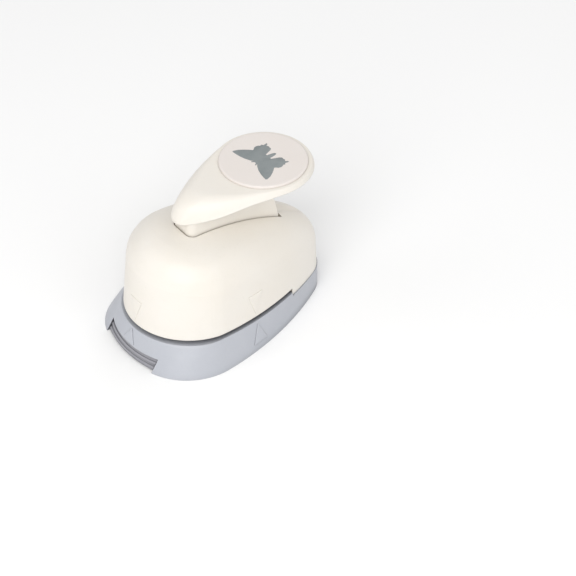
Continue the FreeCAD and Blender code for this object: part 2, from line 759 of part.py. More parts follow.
def web_profile(inset, bottom_open):
    """Side view of the web below the lever, as a face in the plane X = 0."""
    reach = size("web_rear_reach") - inset
    front = web_front_y + inset
    low_angle = math.radians(1.1)
    high_angle = math.radians(38)
    mid_angle = (low_angle + high_angle) / 2
    on_arc = lambda angle: Vector(0, pivot.y + reach * math.cos(angle), pivot.z + reach * math.sin(angle))
    hub = size("ear_radius")
    boss_bottom = press_pin_z - size("press_pin_radius") - 1.7
    points = [
        Vector(0, on_arc(high_angle).y, pivot.z + 32),
        Vector(0, front, pivot.z + 32),
        Vector(0, front, pivot.z + 9.5),
        Vector(0, pivot.y - hub * 0.82 + inset, pivot.z + hub * 0.57),
    ]
    if bottom_open:
        points.append(Vector(0, pivot.y - hub * 0.82 + inset, pivot.z - 12))
        points.append(Vector(0, on_arc(low_angle).y, pivot.z - 12))
    else:
        points.append(Vector(0, pivot.y, pivot.z - hub + 0.05))
        points.append(Vector(0, pivot.y + 9, boss_bottom - 0.3))
        points.append(Vector(0, press_pin_y, boss_bottom))
        points.append(Vector(0, press_pin_y + 9, boss_bottom + 2.6))
    edges = [Part.makeLine(first, last) for first, last in zip(points, points[1:])]
    edges.append(Part.makeLine(points[-1], on_arc(low_angle)))
    edges.append(Part.Arc(on_arc(low_angle), on_arc(mid_angle), on_arc(high_angle)).toShape())
    edges.append(Part.makeLine(on_arc(high_angle), points[0]))
    return Part.Face(Part.Wire(edges))


def make_lever():
    wall = size("lever_wall")
    outer = lever_solid(0.0, 0.0)
    inner = lever_solid(wall, 3.0)
    below = below_rim()
    half = web_half
    channel = half - size("web_wall")
    web = web_profile(0.0, False).extrude(Vector(2 * half, 0, 0))
    web.translate(Vector(-half, 0, 0))
    hub = rod_x(pivot.y, pivot.z, size("ear_radius"), -half, half)
    boss = rod_x(press_pin_y, press_pin_z, size("press_pin_radius") + 1.7, -half, half)
    web = web.fuse(hub)
    web = web.fuse(boss).removeSplitter()
    in_front = lambda edge: edge.BoundBox.YMax < web_front_y + 0.1 and edge.BoundBox.ZMin > pivot.z + 9
    corners = [edge for edge in web.Edges if is_upright(edge) and in_front(edge)]
    web = web.makeFillet(size("web_corner_radius"), corners)
    hollow = web_profile(size("web_wall"), True).extrude(Vector(2 * channel, 0, 0))
    hollow.translate(Vector(-channel, 0, 0))
    shell = outer.cut(inner).cut(below)
    body = shell.fuse(web.common(outer.fuse(below)))
    body = body.cut(hollow.common(inner.fuse(below)))
    body = body.cut(rod_x(pivot.y, pivot.z, size("pivot_radius") + size("running_gap"), -30, 30))
    body = body.cut(rod_x(press_pin_y, press_pin_z, size("press_pin_radius"), -30, 30))
    seat = Part.makeCylinder(size("disc_radius"), 5)
    seat.Placement = pad_placement(-size("disc_seat_depth"))
    return body.cut(seat).removeSplitter()


def pad_placement(offset):
    """Frame on the lever's flat top, with Z square to it, moved along Z by offset."""
    turn = Rotation(Vector(1, 0, 0), size("pad_tilt"))
    origin = Vector(0, pad_y, size("pad_height") - size("disc_rise"))
    return Placement(origin + turn.multVec(Vector(0, 0, offset)), turn)


feature("lever_handle", make_lever())

disc = new_body("thumb_pad")
disc_outline = sketch_on(disc, "disc_outline", "XY_Plane")
circle(disc_outline, "0", "0", "Sizes.disc_radius")
disc_pad = pad(disc, disc_outline, "Sizes.disc_rise + Sizes.disc_seat_depth")
rim = lambda edge: edge.BoundBox.ZMin > 0.5
round_edges(disc, disc_pad, "0.7", rim)
disc.Placement = pad_placement(-size("disc_seat_depth"))

press_pin = doc.addObject("Part::Cylinder", "press_pin")
press_pin.Label = "press_pin"
bind(press_pin, Radius="Sizes.press_pin_radius", Height="Sizes.web_width")
press_pin.Placement = Placement(Vector(-web_half, press_pin_y, press_pin_z), ALONG_X)
sub_parts.append(press_pin)


# -------------------------------------------------------------- punch
CARRIER_TOP = str(round(carrier_top, 4))
CARRIER_PAD_TOP = str(round(carrier_pad_top, 4))
carrier = new_body("punch_carrier")
CARRIER_BOTTOM = CARRIER_TOP + " - Sizes.carrier_thickness"
carrier_outline = sketch_on(carrier, "carrier_outline", "XY_Plane", CARRIER_BOTTOM)
CARRIER_HALF = "Sizes.post_spread / 2 + 3.4"
polygon(carrier_outline, [
    ("-(" + CARRIER_HALF + ")", "-Sizes.carrier_depth / 2"),
    (CARRIER_HALF, "-Sizes.carrier_depth / 2"),
    (CARRIER_HALF, "Sizes.carrier_depth / 2"),
    ("-(" + CARRIER_HALF + ")", "Sizes.carrier_depth / 2"),
])
slab = pad(carrier, carrier_outline, "Sizes.carrier_thickness")
slab = round_edges(carrier, slab, "3", is_upright)
anvil_outline = sketch_on(carrier, "anvil_outline", "XY_Plane", CARRIER_TOP)
ANVIL_HALF = "Sizes.web_width / 2 - Sizes.web_wall - 0.5"
polygon(anvil_outline, [
    ("-(" + ANVIL_HALF + ")", "-5"),
    (ANVIL_HALF, "-5"),
    (ANVIL_HALF, "5"),
    ("-(" + ANVIL_HALF + ")", "5"),
])
pad(carrier, anvil_outline, "Sizes.carrier_pad_rise")
carrier_holes = sketch_on(carrier, "post_holes", "XY_Plane", CARRIER_TOP)
for x in ("-Sizes.post_spread / 2", "Sizes.post_spread / 2"):
    circle(carrier_holes, x, "0", "Sizes.post_radius + Sizes.running_gap")
pocket(carrier, carrier_holes, "Sizes.carrier_thickness")
screw_holes = sketch_on(carrier, "punch_screw_holes", "XY_Plane", CARRIER_TOP)
for x, y in punch_screw_places:
    circle(screw_holes, str(x), str(y), SCREW_HEAD + " + 0.1")
pocket(carrier, screw_holes, "Sizes.screw_head_height")
shank_holes = sketch_on(carrier, "punch_shank_holes", "XY_Plane", CARRIER_TOP + " - Sizes.screw_head_height")
for x, y in punch_screw_places:
    circle(shank_holes, str(x), str(y), SCREW + " + 0.1")
pocket(carrier, shank_holes, "Sizes.carrier_thickness - Sizes.screw_head_height")

punch_tip_z = guide_bottom + 0.2
punch_head_z = carrier_top - size("screw_head_height")
PUNCH_THREAD = 6.0
punch = motif_prism(0.0, punch_tip_z, carrier_bottom)
thread_end = carrier_bottom - PUNCH_THREAD
punch = drill(punch, punch_screw_places, size("screw_radius"), thread_end, carrier_bottom + 1)
feature("punch_block", punch)
feature("punch_screws", screw_group(punch_screw_places, punch_head_z, thread_end + 0.5))

posts = []
for x, y in post_places:
    stop = carrier_top + 0.05
    post = rod_z(x, y, size("post_radius"), guide_top, stop)
    post = post.fuse(rod_z(x, y, size("screw_radius"), guide_bottom + 0.4, guide_top))
    post = post.fuse(rod_z(x, y, size("post_head_radius"), stop, stop + size("post_head_height")))
    posts.append(post.removeSplitter())
feature("guide_posts", Part.makeCompound(posts))


def make_spring():
    """Coil that fills the space between the guide plate and the carrier."""
    wire = size("spring_wire") / 2
    height = carrier_bottom - guide_top - 2 * wire
    helix = Part.makeHelix(height / size("spring_turns"), height, size("spring_radius"))
    start = helix.Edges[0].valueAt(helix.Edges[0].FirstParameter)
    tangent = helix.Edges[0].tangentAt(helix.Edges[0].FirstParameter)
    profile = Part.Wire(Part.makeCircle(wire, start, tangent))
    return Part.Wire(helix.Edges).makePipeShell([profile], True, True)


spring_z = guide_top + size("spring_wire") / 2
feature("return_spring_left", make_spring(), Vector(-post_x, 0, spring_z))
feature("return_spring_right", make_spring(), Vector(post_x, 0, spring_z))


# -------------------------------------------------------------- top cover
def dome(inset, bottom):
    """Drafted walls under a crowned roof, with a large round along their meeting edge."""
    top = size("roof_height") + 12
    walls = Part.makeLoft([cover_wire(inset, bottom), cover_wire(inset, top, 1.0)], True, True)
    centre = Vector(0, size("roof_crown_y"), size("roof_height") - size("roof_radius"))
    cross = size("roof_cross_radius") - inset
    ring = size("roof_radius") - size("roof_cross_radius")
    half = size("cover_width") / 2 + 5
    edge_height = math.sqrt(cross ** 2 - half ** 2) + ring
    corner = lambda x, height: centre + Vector(x, 0, height)
    crown = Part.Arc(corner(-half, edge_height), corner(0, cross + ring), corner(half, edge_height)).toShape()
    sides = [
        Part.makeLine(corner(half, edge_height), corner(half, 0)),
        Part.makeLine(corner(half, 0), corner(-half, 0)),
        Part.makeLine(corner(-half, 0), corner(-half, edge_height)),
    ]
    barrel = Part.Face(Part.Wire([crown] + sides)).revolve(centre, Vector(1, 0, 0), 360)
    solid = walls.common(barrel)
    roof = max(solid.Faces, key=lambda face: face.CenterOfMass.z)
    return solid.makeFillet(size("roof_edge_radius") - inset, roof.OuterWire.Edges)


def roof_z(y):
    """Height of the roof's middle line."""
    drop = math.sqrt(size("roof_radius") ** 2 - (y - size("roof_crown_y")) ** 2)
    return size("roof_height") - size("roof_radius") + drop


def make_cover():
    wall = size("cover_wall")
    foot = size("cover_foot_height")
    outer = dome(0.0, foot)
    inner = dome(wall, foot - 1.0)
    bosses = []
    for x, y in cover_front_places:
        bosses.append(rod_z(x, y, BOSS_RADIUS, guide_top, 60))
    for x, y in cover_rear_places:
        bosses.append(rod_z(x, y, BOSS_RADIUS, table_z, 60))
    body = outer.cut(inner)
    for boss in bosses:
        body = body.fuse(boss.common(outer))
    # the mouth: the lip stands above the table as far back as its end
    body = body.cut(box(-40, 40, -60, size("mouth_end_y"), 0, size("mouth_lip_height")))
    body = drill(body, cover_front_places, size("screw_radius"), guide_top - 1, guide_top + BOSS_DEPTH)
    body = drill(body, cover_rear_places, size("screw_radius"), table_z - 1, table_z + BOSS_DEPTH)
    # slot for the web
    half = web_half + size("slot_gap")
    slot_front = web_front_y - size("slot_gap")
    level = roof_z(pivot.y + size("web_rear_reach")) - pivot.z
    slot_rear = pivot.y + math.sqrt(size("web_rear_reach") ** 2 - level ** 2) + size("slot_rear_gap")
    slot = box(-half, half, slot_front, slot_rear, guide_top + 14, 70)
    in_front = lambda edge: edge.BoundBox.YMax < slot_front + 0.1
    corners = [edge for edge in slot.Edges if is_upright(edge) and in_front(edge)]
    slot = slot.makeFillet(size("web_corner_radius") + size("slot_gap"), corners)
    body = body.cut(slot)
    # crease behind the slot, which runs out towards the back
    end_y = slot_rear + 14
    start = Vector(0, slot_rear - 2, roof_z(slot_rear - 2) + size("crease_radius") - size("crease_depth"))
    end = Vector(0, end_y, roof_z(end_y) + size("crease_radius"))
    groove = Part.makeCylinder(size("crease_radius"), (end - start).Length + 6, start, end - start)
    return body.cut(groove).removeSplitter()


feature("top_cover", make_cover())

# -------------------------------------------------------------- check and write
doc.recompute()
for item in doc.Objects:
    if "Invalid" in item.State or "Error" in item.State:
        raise RuntimeError("%s failed: %s" % (item.Name, item.State))
for item in sub_parts:
    if item.Shape.isNull() or not item.Shape.isValid() or not item.Shape.Solids:
        raise RuntimeError("%s has no sound shape" % item.Label)
for item in sub_parts:
    item.Shape.exportStep("parts/%s.step" % item.Label)
print("wrote %d sub-parts" % len(sub_parts))
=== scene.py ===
import json
import math

import bpy
from mathutils import Matrix, Vector


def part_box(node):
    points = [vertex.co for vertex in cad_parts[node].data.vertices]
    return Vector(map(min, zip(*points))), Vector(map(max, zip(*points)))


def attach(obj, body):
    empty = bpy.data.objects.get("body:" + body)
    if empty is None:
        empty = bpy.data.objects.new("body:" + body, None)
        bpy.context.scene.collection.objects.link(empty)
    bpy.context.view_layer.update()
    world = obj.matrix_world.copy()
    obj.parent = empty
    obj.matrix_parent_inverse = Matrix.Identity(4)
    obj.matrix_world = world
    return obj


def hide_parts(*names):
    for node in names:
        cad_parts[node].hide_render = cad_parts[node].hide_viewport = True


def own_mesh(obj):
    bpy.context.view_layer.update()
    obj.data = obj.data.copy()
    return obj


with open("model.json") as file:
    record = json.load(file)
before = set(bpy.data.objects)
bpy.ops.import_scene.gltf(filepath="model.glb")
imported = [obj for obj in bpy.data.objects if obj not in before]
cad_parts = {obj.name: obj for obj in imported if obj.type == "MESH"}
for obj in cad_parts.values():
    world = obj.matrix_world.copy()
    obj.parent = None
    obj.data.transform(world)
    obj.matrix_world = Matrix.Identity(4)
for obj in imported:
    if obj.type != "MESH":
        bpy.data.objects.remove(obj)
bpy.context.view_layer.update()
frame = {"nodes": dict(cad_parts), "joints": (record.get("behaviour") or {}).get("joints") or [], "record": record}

nodes = frame["nodes"]
mm = 0.001


# a wrapped shader socket, so that sums on values read as plain sums
class Wire:
    def __init__(self, tree, socket=None):
        self.tree = tree
        self.socket = socket

    def add(self, kind, settings=None, sockets=None, out=0):
        node = self.tree.nodes.new("ShaderNode" + kind)
        for name, value in (settings or {}).items():
            if name == "stops":
                ramp = node.color_ramp
                while len(ramp.elements) < len(value):
                    ramp.elements.new(0.5)
                for element, (place, colour) in zip(ramp.elements, value):
                    element.position = place
                    element.color = colour
            else:
                setattr(node, name, value)
        for name, value in (sockets or {}).items():
            if isinstance(value, Wire):
                self.tree.links.new(value.socket, node.inputs[name])
            else:
                node.inputs[name].default_value = value
        return Wire(self.tree, node.outputs[out])

    def maths(self, operation, first, second):
        return self.add("Math", {"operation": operation}, {0: first, 1: second})

    def __add__(self, other):
        return self.maths("ADD", self, other)

    def __radd__(self, other):
        return self.maths("ADD", other, self)

    def __sub__(self, other):
        return self.maths("SUBTRACT", self, other)

    def __rsub__(self, other):
        return self.maths("SUBTRACT", other, self)

    def __mul__(self, other):
        return self.maths("MULTIPLY", self, other)

    def __rmul__(self, other):
        return self.maths("MULTIPLY", other, self)

    def spread(self, low, high, newLow=0.0, newHigh=1.0):
        # stretches low..high to newLow..newHigh and stops there
        return self.add("MapRange", {"clamp": True}, {
            "Value": self, "From Min": low, "From Max": high, "To Min": newLow, "To Max": newHigh})


def noise(place, size, detail=3.0, roughness=0.5):
    # cloudy noise whose blobs are about size millimetres across
    return place.add("TexNoise", {"noise_dimensions": "3D"}, {
        "Vector": place, "Scale": 1 / (size * mm), "Detail": detail, "Roughness": roughness})


def stretched(place, scales):
    # the same place, squeezed or drawn out along each axis
    return place.add("Mapping", {"vector_type": "POINT"}, {"Vector": place, "Scale": scales})


def mixColour(share, first, second):
    node = share.tree.nodes.new("ShaderNodeMix")
    node.data_type = "RGBA"
    share.tree.links.new(share.socket, node.inputs[0])
    for index, value in ((6, first), (7, second)):
        if isinstance(value, Wire):
            share.tree.links.new(value.socket, node.inputs[index])
        else:
            node.inputs[index].default_value = (*value, 1.0)
    return Wire(share.tree, node.outputs[2])


def edgeMask(start, radius):
    # 1 along edges sharper than radius millimetres, 0 on open faces
    soft = start.add("Bevel", {"samples": 6}, {"Radius": radius * mm})
    true = start.add("NewGeometry", out=1)
    facing = start.add("VectorMath", {"operation": "DOT_PRODUCT"}, {0: soft, 1: true}, out=1)
    return (1.0 - facing).spread(0.01, 0.22)


def paintedShadeMask(start, reach):
    # painted shade: 1 deep in gaps narrower than reach millimetres, where shade falls, 0 in the open
    light = start.add("AmbientOcclusion", {"samples": 8}, {"Distance": reach * mm}, out=1)
    return (1.0 - light).spread(0.22, 0.75)


def newMaterial(name):
    material = bpy.data.materials.new(name)
    material.use_nodes = True
    material.node_tree.nodes.clear()
    return material, Wire(material.node_tree)


def closeMaterial(material, start, shader, settings):
    # shader holds what varies, settings the plain numbers on the shader's own sockets
    surface = start.add("BsdfPrincipled", None, {**settings, **shader})
    output = start.tree.nodes.new("ShaderNodeOutputMaterial")
    start.tree.links.new(surface.socket, output.inputs["Surface"])
    return material


# moulded plastic: fine spark-eroded grain, slow sink waves, rubbed edges, faint hairline scuffs
def mouldedPlastic(name, look):
    material, start = newMaterial(name)
    place = start.add("TexCoord", out=3)
    drift = noise(place, look["driftSize"], 2.0).spread(0.32, 0.68)
    colour = mixColour(drift, look["colour"], look["driftColour"])
    fleck = noise(place, look["fleckSize"], 1.0).spread(0.62, 0.80)
    colour = mixColour(fleck * look["fleckShare"], colour, look["fleckColour"])
    dust = noise(place, 3.5, 5.0, 0.62).spread(0.50, 0.74)
    colour = mixColour(dust * look["dustShare"], colour, look["dustColour"])
    edge = edgeMask(start, look["edgeRadius"])
    worn = edge * noise(place, 2.2, 4.0, 0.6).spread(0.30, 0.62, 0.35, 1.0)
    colour = mixColour(worn * look["edgeShare"], colour, look["edgeColour"])
    # painted shade: the colour is darkened in gaps and under overhangs, such as under the cover's lip, where shade
    # falls
    paintedShade = paintedShadeMask(start, look["shadeReach"])
    colour = mixColour(paintedShade * look["paintedShadeShare"], colour, look["paintedShadeColour"])
    hair = noise(stretched(place, (1.0, 0.07, 1.0)), 0.55, 2.0, 0.55).spread(0.66, 0.75)
    crossHair = noise(stretched(place, (0.06, 0.9, 0.9)), 0.6, 2.0, 0.55).spread(0.68, 0.76)
    patch = noise(place, 16.0, 2.0).spread(0.45, 0.62)
    scuff = (hair + crossHair) * patch
    smudge = noise(place, 9.0, 4.0, 0.6).spread(0.42, 0.66)
    rough = look["roughness"] + smudge * look["smudge"] + scuff * 0.10 + worn * 0.08
    wave = noise(place, look["waveSize"], 1.0)
    grain = noise(place, look["grainSize"], 3.0, 0.6)
    soft = start.add("Bevel", {"samples": 6}, {"Radius": look["roundRadius"] * mm})
    waved = start.add("Bump", None, {
        "Strength": 1.0, "Distance": look["waveDepth"] * mm, "Height": wave, "Normal": soft})
    grained = start.add("Bump", None, {
        "Strength": 1.0, "Distance": look["grainDepth"] * mm, "Height": grain - scuff * 0.3, "Normal": waved})
    return closeMaterial(material, start, {
        "Base Color": colour, "Roughness": rough, "Normal": grained,
    }, {
        "IOR": 1.49, "Coat Weight": look["coat"], "Coat Roughness": 0.22,
        "Subsurface Weight": look["glow"], "Subsurface Radius": (1.0, 0.92, 0.80), "Subsurface Scale": 0.0012,
    })


whiteLook = {
    "colour": (0.790, 0.748, 0.680),
    "driftColour": (0.805, 0.768, 0.712), "driftSize": 26.0,
    "fleckColour": (0.60, 0.56, 0.49), "fleckSize": 0.9, "fleckShare": 0.10,
    "dustColour": (0.69, 0.66, 0.60), "dustShare": 0.08,
    "edgeColour": (0.88, 0.86, 0.82), "edgeRadius": 0.9, "edgeShare": 0.55,
    "roughness": 0.40, "smudge": 0.07,
    "waveSize": 14.0, "waveDepth": 0.10,
    "grainSize": 0.55, "grainDepth": 0.012,
    "roundRadius": 0.35, "coat": 0.05, "glow": 0.06,
    # painted shade: a dark brown laid into narrow gaps, such as the slot round the lever's nose
    "shadeReach": 3.0, "paintedShadeShare": 0.50, "paintedShadeColour": (0.32, 0.27, 0.19),
}
# the pad's pinker, slightly darker white is a painted reflection on the same white plastic; its finer, deeper
# grain and rougher finish are the pad's own
padLook = dict(
    whiteLook, colour=(0.760, 0.706, 0.668), driftColour=(0.775, 0.724, 0.690),
    edgeColour=(0.86, 0.83, 0.81), roughness=0.42, grainSize=0.45, grainDepth=0.018, coat=0.04,
    # a faint painted shade round the pad's raised disc
    paintedShadeShare=0.2)
greyLook = dict(
    whiteLook, colour=(0.440, 0.456, 0.502), driftColour=(0.460, 0.476, 0.518),
    fleckColour=(0.35, 0.36, 0.40), fleckShare=0.16, dustColour=(0.56, 0.57, 0.60), dustShare=0.10,
    edgeColour=(0.64, 0.66, 0.70), edgeShare=0.5, roughness=0.40, smudge=0.09,
    grainSize=0.50, grainDepth=0.020, coat=0.05, glow=0.0,
    # painted shadow: near-black laid deep into gaps, darkest in the mouth under the cover's lip
    shadeReach=7.0, paintedShadeShare=0.92, paintedShadeColour=(0.08, 0.08, 0.095))
trayLook = dict(
    greyLook, colour=(0.290, 0.288, 0.318), driftColour=(0.315, 0.313, 0.343),
    fleckColour=(0.15, 0.15, 0.17), dustColour=(0.34, 0.34, 0.36), dustShare=0.22,
    edgeColour=(0.42, 0.42, 0.45), edgeShare=0.6, roughness=0.46, grainDepth=0.03)


# metals: ground or drawn lines one way, oily patches, bright edges
def workedSteel(name, look):
    material, start = newMaterial(name)
    place = start.add("TexCoord", out=3)
    lines = noise(stretched(place, look["lineScales"]), look["lineSize"], 3.0, 0.6)
    fineLines = noise(stretched(place, look["lineScales"]), look["lineSize"] * 0.35, 2.0, 0.5)
    cloud = noise(place, 7.0, 3.0).spread(0.35, 0.65)
    colour = mixColour(lines.spread(0.35, 0.65), look["colour"], look["lineColour"])
    colour = mixColour(cloud * 0.35, colour, look["cloudColour"])
    stain = noise(place, 2.6, 5.0, 0.65).spread(0.60, 0.74)
    colour = mixColour(stain * look["stainShare"], colour, look["stainColour"])
    edge = edgeMask(start, look["edgeRadius"])
    colour = mixColour(edge * 0.7, colour, look["edgeColour"])
    rough = look["roughness"] + lines.spread(0.3, 0.7, 0.0, 0.10) + stain * 0.18 - edge * 0.06
    soft = start.add("Bevel", {"samples": 6}, {"Radius": look["roundRadius"] * mm})
    bump = start.add("Bump", None, {
        "Strength": 1.0, "Distance": look["lineDepth"] * mm,
        "Height": lines + fineLines * 0.5, "Normal": soft})
    return closeMaterial(material, start, {
        "Base Color": colour, "Roughness": rough, "Normal": bump,
        "Metallic": 1.0 - stain * look["stainShare"] * 0.5,
    }, {"IOR": 2.5})


plateLook = {
    "colour": (0.56, 0.57, 0.58), "lineColour": (0.68, 0.69, 0.70), "cloudColour": (0.48, 0.49, 0.50),
    "stainColour": (0.30, 0.25, 0.20), "stainShare": 0.35, "edgeColour": (0.85, 0.86, 0.87),
    "edgeRadius": 0.35, "roundRadius": 0.08,
    "lineScales": (1.0, 0.03, 1.0), "lineSize": 0.35, "lineDepth": 0.006, "roughness": 0.26,
}
bracketLook = dict(
    plateLook, colour=(0.50, 0.51, 0.50), lineColour=(0.58, 0.59, 0.57), cloudColour=(0.44, 0.45, 0.47),
    lineScales=(1.0, 1.0, 0.5), lineSize=0.9, lineDepth=0.012, roughness=0.36)
springLook = dict(
    plateLook, colour=(0.36, 0.36, 0.37), lineColour=(0.50, 0.50, 0.51), stainShare=0.2,
    lineScales=(1.0, 1.0, 1.0), lineSize=0.25, lineDepth=0.004, edgeRadius=0.1, roughness=0.30)
screwLook = dict(
    plateLook, colour=(0.53, 0.53, 0.51), lineColour=(0.62, 0.62, 0.60), stainShare=0.3,
    lineScales=(1.0, 1.0, 1.0), lineSize=0.5, lineDepth=0.006, edgeRadius=0.25, roughness=0.30)

materials = {
    "white_plastic": mouldedPlastic("whitePlastic", whiteLook),
    "pad_plastic": mouldedPlastic("padPlastic", padLook),
    "grey_plastic": mouldedPlastic("greyPlastic", greyLook),
    "dark_grey_plastic": mouldedPlastic("trayPlastic", trayLook),
    "plate_steel": workedSteel("plateSteel", plateLook),
    "bracket_steel": workedSteel("bracketSteel", bracketLook),
    "spring_steel": workedSteel("springSteel", springLook),
    "screw_steel": workedSteel("screwSteel", screwLook),
}
for part in frame["record"]["subparts"]:
    node = nodes[part["node"]]
    node.data.materials.clear()
    node.data.materials.append(materials[part["material_slot"]])
print("finishes given to", len(nodes), "nodes")


def letGo():
    if bpy.context.object and bpy.context.object.mode != "OBJECT":
        bpy.ops.object.mode_set(mode="OBJECT")
    bpy.ops.object.select_all(action="DESELECT")


def takeUp(piece):
    letGo()
    piece.select_set(True)
    bpy.context.view_layer.objects.active = piece


def applyAll(piece):
    takeUp(piece)
    bpy.ops.object.transform_apply(location=True, rotation=True, scale=True)
    for modifier in list(piece.modifiers):
        bpy.ops.object.modifier_apply(modifier=modifier.name)


def outward(piece):
    takeUp(piece)
    bpy.ops.object.mode_set(mode="EDIT")
    bpy.ops.mesh.select_all(action="SELECT")
    bpy.ops.mesh.remove_doubles(threshold=0.000001)
    bpy.ops.mesh.normals_make_consistent(inside=False)
    bpy.ops.object.mode_set(mode="OBJECT")


def surfaceAt(node, origin, direction):
    # where a straight line meets a node, and the way that face looks
    hit, point, normal = nodes[node].ray_cast(origin, direction)[:3]
    if not hit:
        raise ValueError("the line misses " + node)
    return point, normal


def layOn(piece, spot, facing, up):
    # turns a piece modelled flat in XY, with its top towards +Y, to lie at a spot on a surface
    side = up.cross(facing).normalized()
    top = facing.cross(side).normalized()
    turn = Matrix((side, top, facing)).transposed().to_4x4()
    piece.matrix_world = Matrix.Translation(spot) @ turn


# butterfly printed on the thumb pad: a thin skin of ink with a soft rounded edge
butterflyPrint = {
    "halfSpan": 10.9, "wingLift": 1.04, "centreY": 21.6,
    "thickness": 0.05, "sink": 0.02,
    "colour": (0.215, 0.240, 0.245), "driftColour": (0.245, 0.268, 0.272),
    "rubColour": (0.46, 0.46, 0.45), "roughness": 0.42,
    "rightHalf": [
        (0.000, -0.330), (0.045, -0.345), (0.105, -0.430), (0.140, -0.405), (0.110, -0.335),
        (0.215, -0.405), (0.400, -0.490), (0.615, -0.550), (0.830, -0.585), (0.980, -0.595),
        (1.000, -0.540), (0.940, -0.375), (0.830, -0.220), (0.720, -0.090), (0.625, 0.000),
        (0.640, 0.045), (0.715, 0.110), (0.740, 0.200), (0.720, 0.290), (0.675, 0.330),
        (0.700, 0.400), (0.635, 0.450), (0.663, 0.590), (0.600, 0.585), (0.550, 0.505),
        (0.470, 0.550), (0.400, 0.530), (0.325, 0.540), (0.260, 0.470), (0.205, 0.330),
        (0.155, 0.205), (0.095, 0.210), (0.085, 0.350), (0.050, 0.480), (0.000, 0.520)],
}


def printInk(look):
    material, start = newMaterial("printInk")
    place = start.add("TexCoord", out=3)
    drift = noise(place, 4.0, 3.0).spread(0.35, 0.65)
    colour = mixColour(drift, look["colour"], look["driftColour"])
    rub = noise(place, 1.1, 4.0, 0.65).spread(0.62, 0.74)
    edge = edgeMask(start, 0.12)
    colour = mixColour((rub * 0.18 + edge * 0.30).spread(0.0, 1.0), colour, look["rubColour"])
    grain = noise(place, 0.45, 3.0, 0.6)
    bump = start.add("Bump", None, {"Strength": 1.0, "Distance": 0.012 * mm, "Height": grain})
    return closeMaterial(material, start, {
        "Base Color": colour, "Roughness": look["roughness"] + rub * 0.2, "Normal": bump,
    }, {"IOR": 1.5, "Coat Weight": 0.05})


def makePrint(look):
    right = look["rightHalf"]
    ring = right + [(-x, y) for x, y in reversed(right[1:-1])]
    letGo()
    bpy.ops.mesh.primitive_circle_add(vertices=len(ring), radius=1.0, fill_type="NGON")
    piece = bpy.context.object
    piece.name = "printed_butterfly"
    scale = look["halfSpan"] * mm
    lift = look["wingLift"]
    for vertex, (x, y) in zip(piece.data.vertices, ring):
        vertex.co = (x * scale, y * scale * lift, 0.0)
    bpy.ops.object.mode_set(mode="EDIT")
    bpy.ops.mesh.select_all(action="SELECT")
    bpy.ops.mesh.extrude_region_move(TRANSFORM_OT_translate={"value": (0, 0, look["thickness"] * mm)})
    bpy.ops.object.mode_set(mode="OBJECT")
    outward(piece)
    spot, facing = surfaceAt("thumb_pad", Vector((0, look["centreY"] * mm, 0.1)), Vector((0, 0, -1)))
    layOn(piece, spot - facing * look["sink"] * mm, facing, Vector((0, 1, 0)))
    soft = piece.modifiers.new("softEdge", "BEVEL")
    soft.width = 0.018 * mm
    soft.segments = 2
    soft.limit_method = "ANGLE"
    soft.angle_limit = math.radians(60)
    applyAll(piece)
    bpy.ops.object.shade_smooth_by_angle(angle=math.radians(35))
    piece.data.materials.append(printInk(look))
    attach(piece, "lever")
    return piece


makePrint(butterflyPrint)
print("printed butterfly made")


# raised triangles that line up the cover with the base: front, left and right
markLook = {
    "width": 7.0, "sink": 0.5, "rounding": 0.10, "cuts": 7,
    "rise": {"base_housing": 0.32, "top_cover": 0.22},
    "places": [  # name, node, side, along, foot, tip, slot
        ("mark_base_right", "base_housing", "right", 0.1, 2.9, 10.2, "grey_plastic"),
        ("mark_base_left", "base_housing", "left", 0.1, 2.9, 10.2, "grey_plastic"),
        ("mark_base_front", "base_housing", "front", 0.0, 5.7, 10.6, "grey_plastic"),
        ("mark_cover_right", "top_cover", "right", 0.1, 24.0, 14.2, "white_plastic"),
        ("mark_cover_left", "top_cover", "left", 0.1, 24.0, 14.2, "white_plastic"),
        ("mark_cover_front", "top_cover", "front", 0.0, 24.0, 14.2, "white_plastic"),
    ],
}


def makeMark(name, node, side, along, foot, tip, slotName):
    look = markLook
    letGo()
    bpy.ops.mesh.primitive_circle_add(vertices=3, radius=1.0, fill_type="NGON")
    piece = bpy.context.object
    piece.name = name
    half = look["width"] / 2
    for vertex, spot in zip(piece.data.vertices, ((along, tip), (along - half, foot), (along + half, foot))):
        vertex.co = (spot[0] * mm, spot[1] * mm, 0.0)
    bpy.ops.object.mode_set(mode="EDIT")
    bpy.ops.mesh.select_all(action="SELECT")
    bpy.ops.mesh.quads_convert_to_tris()
    bpy.ops.mesh.subdivide(number_cuts=look["cuts"])
    bpy.ops.object.mode_set(mode="OBJECT")
    far = 0.08
    for vertex in piece.data.vertices:  # lay the flat triangle on the curved wall
        sideways, height = vertex.co.x, vertex.co.y
        if side == "front":
            spot, facing = surfaceAt(node, Vector((sideways, -far, height)), Vector((0, 1, 0)))
        else:
            sign = 1 if side == "right" else -1
            spot, facing = surfaceAt(node, Vector((sign * far, sideways, height)), Vector((-sign, 0, 0)))
        vertex.co = spot + facing * look["rise"][node] * mm
    inwards = piece.modifiers.new("thickness", "SOLIDIFY")
    inwards.thickness = (look["rise"][node] + look["sink"]) * mm
    outer = {"front": Vector((0, -1, 0)), "right": Vector((1, 0, 0)), "left": Vector((-1, 0, 0))}[side]
    piece.data.update()
    inwards.offset = -1.0 if piece.data.polygons[0].normal.dot(outer) > 0 else 1.0
    soft = piece.modifiers.new("softEdge", "BEVEL")
    soft.width = look["rounding"] * mm
    soft.segments = 3
    soft.limit_method = "ANGLE"
    soft.angle_limit = math.radians(50)
    applyAll(piece)
    outward(piece)
    bpy.ops.object.shade_smooth_by_angle(angle=math.radians(40))
    piece.data.materials.append(materials[slotName])
    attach(piece, "frame")


for place in markLook["places"]:
    makeMark(*place)
print("alignment marks made")


# return springs: round wire wound on the posts
springShape = {"wireRadius": 0.35, "turns": 5.5, "stepsPerTurn": 40, "wireSides": 14}


